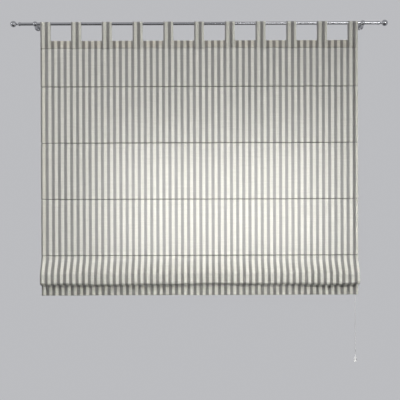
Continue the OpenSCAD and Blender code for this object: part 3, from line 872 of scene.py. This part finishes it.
hitches = []
for column in column_x:
    x, y, z = column + ring_side, ring_y[4], row_z[4]
    loop = []
    for a in np.linspace(-loop_turn, loop_turn, 25):
        round_x, round_z = x + loop_wide * math.sin(a), z - loop_wide * math.cos(a)
        loop.append((round_x, y + loop_deep * math.cos(a / 2), round_z))
    hitches += [loop, coil(x, y, hitch_r, z + hitch_low, z + hitch_high)]
hem_knots = cord_tube("hem_knots", hitches, hitch_d, sides=8)
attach(hem_knots, "hem_row")
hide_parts("cord_hitches")
bell_turns = coil(pull_x, cord_plane, bell_knot_r, bell_low + knot_in, bell_low - knot_out)
bell_knot = cord_tube("bell_knot", [bell_turns], bell_knot_d, sides=8)
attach(bell_knot, "pull_weight")
print("knots", len(column_x) + 1)

# %% [markdown]
# ## Braided cord
# The cords are braided from bright polyester. Two sets of yarns run round the cord in opposite spirals,
# so the height of the braid is the higher of two sines, each of a sum of the way round and the way along.
# That height bumps the surface and also darkens the colour in the hollows between the yarns, which is
# painted shade.

# %% Cord finish
braid_yarns, braid_pitch = 4, 0.0024
braid_hollow_shade, braid_bright = (0.55, 0.55, 0.53, 1), (0.77, 0.77, 0.76, 1)
cord_names = ("pull_cord_braid", "pull_strand", "lift_cord", "header_cord_run", "hem_knots", "bell_knot")
braid, tree, surface = new_finish("braided_cord")
run = tree.nodes.new("ShaderNodeUVMap")
run.uv_map = "run"
parts = tree.nodes.new("ShaderNodeSeparateXYZ")
tree.links.new(run.outputs[0], parts.inputs[0])
around = math_node(tree, "MULTIPLY", parts.outputs[0], braid_yarns * full_turn)
along = math_node(tree, "MULTIPLY", parts.outputs[1], full_turn / braid_pitch)
right = math_node(tree, "SINE", math_node(tree, "ADD", around, along))
left = math_node(tree, "SINE", math_node(tree, "SUBTRACT", around, along))
yarn = math_node(tree, "MAXIMUM", right, left)
# Painted shade: the colour goes darker in the hollows between the yarns, where shade would fall.
braid_colour_and_hollow_shade = mix_colours(tree, ramp(tree, yarn, -0.6, 0.7), braid_hollow_shade, braid_bright)
tree.links.new(braid_colour_and_hollow_shade, surface.inputs["Base Color"])
tree.links.new(bump(tree, yarn, 0.0002, 0.6), surface.inputs["Normal"])
surface.inputs["Roughness"].default_value = 0.6
surface.inputs["Sheen Weight"].default_value = 0.1
cords = [piece for piece in scene.objects if piece.name.startswith(cord_names)]
for piece in cords:
    dress(piece, braid)
print("braided pieces", len(cords))

# %% [markdown]
# ## Polished steel
# Rod, brackets and finials are chromed steel. A metal's colour is that of its reflections, so the shader
# is plain metal with low roughness, and the detail is in that roughness: fine polishing lines round the
# rod, and faint smears where hands have been. The lines are noise that is stretched the way the buffing
# wheel went.


# %% Steel and aluminium
def metal_finish(name, colour, rough_low, rough_high, lines, line_depth):
    finish, tree, surface = new_finish(name)
    place = object_place(tree)
    brushing = noise(tree, place, lines, 3)
    smears = noise(tree, place, (30, 45, 45), 4)
    smeared = ramp(tree, smears, 0.35, 0.7, rough_low, rough_high)
    rough = math_node(tree, "MULTIPLY_ADD", brushing, 0.35 * (rough_high - rough_low), smeared)
    tree.links.new(rough, surface.inputs["Roughness"])
    duller = tuple(c * 0.94 for c in colour[:3]) + (1,)
    tint = mix_colours(tree, ramp(tree, smears, 0.3, 0.75), colour, duller)
    tree.links.new(tint, surface.inputs["Base Color"])
    tree.links.new(bump(tree, brushing, 0.0001, line_depth), surface.inputs["Normal"])
    surface.inputs["Metallic"].default_value = 1.0
    return finish


def coat(names, finish):
    for name in names:
        nodes[name].data.materials.clear()
        nodes[name].data.materials.append(finish)


steel_names = ["curtain_rod", "finial_left", "finial_right", "wall_plate_left", "wall_plate_right"]
steel_names += ["bracket_arm_left", "bracket_arm_right", "set_screws", "cord_eyes"]
steel_names += ["lock_guide_pin", "lock_cam_pin", "lock_screws"]
polished_steel = metal_finish("polished_steel", (0.50, 0.505, 0.52, 1), 0.06, 0.16, (600, 40, 40), 0.03)
plain_bar = metal_finish("mill_aluminium", (0.80, 0.80, 0.81, 1), 0.35, 0.5, (8, 900, 900), 0.15)
coat(steel_names, polished_steel)
coat(["bottom_bar"], plain_bar)
print(polished_steel.name, "on", len(steel_names), "nodes,", plain_bar.name, "on", 1)

# %% [markdown]
# ## Plastic, glass fibre and wood
# The rings, the joiner, the bell and the cord lock are moulded in white plastic with a soft shine.
# Moulded plastic is never mirror smooth, so it gets a faint orange peel from noise. The stiffening rods
# are drawn glass fibre with streaks along them, and the batten in the header is planed pine with growth
# rings.


# %% Plastic and glass fibre
def moulded_finish(name, colour, rough, stretch, streak):
    finish, tree, surface = new_finish(name)
    place = object_place(tree)
    shade = ramp(tree, noise(tree, place, stretch, 3), 0.3, 0.7, 1 - streak, 1.0)
    tree.links.new(shaded(tree, colour, shade), surface.inputs["Base Color"])
    shine = ramp(tree, noise(tree, place, (90, 90, 90)), 0.3, 0.7, rough - 0.05, rough + 0.08)
    tree.links.new(shine, surface.inputs["Roughness"])
    tree.links.new(bump(tree, noise(tree, place, (700, 700, 700)), 0.0001, 0.08), surface.inputs["Normal"])
    return finish


white_plastic = moulded_finish("moulded_white", (0.76, 0.76, 0.75, 1), 0.3, (60, 60, 60), 0.03)
glass_fibre = moulded_finish("glass_fibre", (0.78, 0.77, 0.70, 1), 0.45, (4, 900, 900), 0.18)
plastic_names = ["lock_housing", "lock_cam", "cord_joiner", "bell"] + [f"rings_{k}" for k in range(1, 6)]
rod_names = [f"stiffener_{k}" for k in range(1, 6)]
coat(plastic_names, white_plastic)
coat(rod_names, glass_fibre)
print(white_plastic.name, "on", len(plastic_names), "nodes,", glass_fibre.name, "on", len(rod_names))

# %% Pine
planed_pine, tree, surface = new_finish("planed_pine")
place = object_place(tree)
rings = sine(tree, noise(tree, place, (1.2, 60, 45), 2), 60)
grain = mix_colours(tree, ramp(tree, rings, -0.7, 0.9), (0.66, 0.47, 0.27, 1), (0.80, 0.64, 0.42, 1))
tree.links.new(grain, surface.inputs["Base Color"])
tree.links.new(bump(tree, noise(tree, place, (12, 700, 700)), 0.0002, 0.2), surface.inputs["Normal"])
surface.inputs["Roughness"].default_value = 0.6
coat(["header_batten"], planed_pine)
print(planed_pine.name, "on", 1, "node")

# %% [markdown]
# ## Floor and backdrop
# The blind hangs free over a grey floor that fades into a plain backdrop, so it can be seen from every
# side. The backdrop is the world's colour as the camera and reflections see it, told apart from its light
# by the Light Path node. The light that the world gives is low, and lowest from below: too much of it
# would fill the shade under the fold, which shows how far the fold stands out.

# %% Floor
floor_z, floor_r = -2.75, 3.2
fade_from, fade_to = 0.35 * floor_r, 0.98 * floor_r
floor_mesh = bpy.data.meshes.new("floor")
shape = bmesh.new()
bmesh.ops.create_circle(shape, cap_ends=True, radius=floor_r, segments=96)
shape.to_mesh(floor_mesh)
shape.free()
floor = bpy.data.objects.new("floor", floor_mesh)
floor.location = (0, 0, floor_z)
scene.collection.objects.link(floor)
grey_floor, tree, surface = new_finish("grey_floor")
surface.inputs["Base Color"].default_value = (0.42, 0.42, 0.427, 1)
surface.inputs["Roughness"].default_value = 0.9
reach = tree.nodes.new("ShaderNodeVectorMath")
reach.operation = "LENGTH"
tree.links.new(object_place(tree), reach.inputs[0])
clear = tree.nodes.new("ShaderNodeBsdfTransparent")
mix_shaders(tree, ramp(tree, reach.outputs["Value"], fade_from, fade_to, steep=True), surface, clear)
floor_mesh.materials.append(grey_floor)
print("floor fades from", round(fade_from, 2), "to", round(fade_to, 2), "m")

# %% World
backdrop, room = (0.50, 0.505, 0.525, 1), (0.10, 0.10, 0.102, 1)
world = bpy.data.worlds.new("studio")
world.use_nodes = True
scene.world = world
tree = world.node_tree
rays = tree.nodes.new("ShaderNodeLightPath")
seen = math_node(tree, "ADD", rays.outputs["Is Camera Ray"], rays.outputs["Is Glossy Ray"])
seen = math_node(tree, "MINIMUM", math_node(tree, "ADD", seen, rays.outputs["Is Transmission Ray"]), 1.0)
way = tree.nodes.new("ShaderNodeSeparateXYZ")
tree.links.new(tree.nodes.new("ShaderNodeTexCoord").outputs["Generated"], way.inputs[0])
light = shaded(tree, room, ramp(tree, way.outputs[2], -0.25, 0.05, 0.3, 1.0))
tree.links.new(mix_colours(tree, seen, light, backdrop), tree.nodes["Background"].inputs["Color"])
print("backdrop", [round(c, 3) for c in backdrop[:3]])

# %% [markdown]
# ## Lamps
# Two wide lamps, above the camera and on the left, light the whole blind softly. Two long lamps on the
# right have a narrow spread and are aimed at the lower half, which is brighter: they stand low, so the
# fold throws a short shadow on the hem. A lamp close behind the cloth shines through its middle, as
# daylight does. The steel needs something to mirror: a strip on the left, and one on the right that only
# mirror reflections see.


# %% Lamps
def lamp(name, place, target, size, power, spread=180):
    data = bpy.data.lights.new(name, "AREA")
    data.shape = "RECTANGLE"
    data.size, data.size_y = size
    data.energy = power
    data.spread = math.radians(spread)
    light = bpy.data.objects.new(name, data)
    light.location = place
    light.rotation_euler = (Vector(target) - Vector(place)).to_track_quat("-Z", "Y").to_euler()
    light.visible_camera = False
    scene.collection.objects.link(light)
    return light


above = lamp("above", (-1.0, -4.6, 4.4), (0, 0, -0.9), (2.6, 2.0), 144)
left = lamp("left", (-2.4, -2.6, 1.2), (-0.3, 0, -0.7), (1.2, 1.2), 44)
for soft in (above, left):
    soft.visible_glossy = False
lamp("front", (1.2, -3.4, 0.1), (0.09, 0, -1.32), (1.8, 0.3), 8.2, spread=52)
lamp("low", (1.2, -3.4, -0.35), (0.02, 0, -1.33), (1.8, 0.3), 3.4, spread=44)
lamp("left_strip", (-2.6, -1.5, 0.3), (-0.95, rod_y, 0), (0.25, 0.9), 5)
right_strip = lamp("right_strip", (1.2, -3.4, 0.2), (0.7, rod_y, 0), (1.8, 0.5), 13)
right_strip.visible_diffuse = False
right_strip.visible_transmission = False
lamp("behind", (0.10, 0.22, -0.90), (0.10, 0, -0.90), (1.15, 0.60), 2.5, spread=110)
print("lamps", len(bpy.data.lights))

# %% [markdown]
# ## A dark card for the steel
# Polished steel in a pale studio turns as pale as the studio. Photographers lay a black card in front of
# it, below the picture, and its mirror image draws the dark line along the lower side of a tube. Only
# mirror reflections see the card here: it shades nothing, and the camera looks through it.

# %% Dark card
card_half, card_near, card_far, card_z = 2.2, -2.9, -0.45, -1.5
corners = [(-card_half, card_near), (card_half, card_near), (card_half, card_far), (-card_half, card_far)]
card_mesh = bpy.data.meshes.new("dark_card")
card_mesh.from_pydata([(x, y, card_z) for x, y in corners], [], [(0, 1, 2, 3)])
card = bpy.data.objects.new("dark_card", card_mesh)
scene.collection.objects.link(card)
black_card, tree, surface = new_finish("black_card")
surface.inputs["Base Color"].default_value = (0.02, 0.02, 0.02, 1)
surface.inputs["Roughness"].default_value = 1.0
card_mesh.materials.append(black_card)
card.visible_camera = False
card.visible_diffuse = False
card.visible_transmission = False
card.visible_shadow = False
print("card", round(2 * card_half * (card_far - card_near), 1), "square metres")
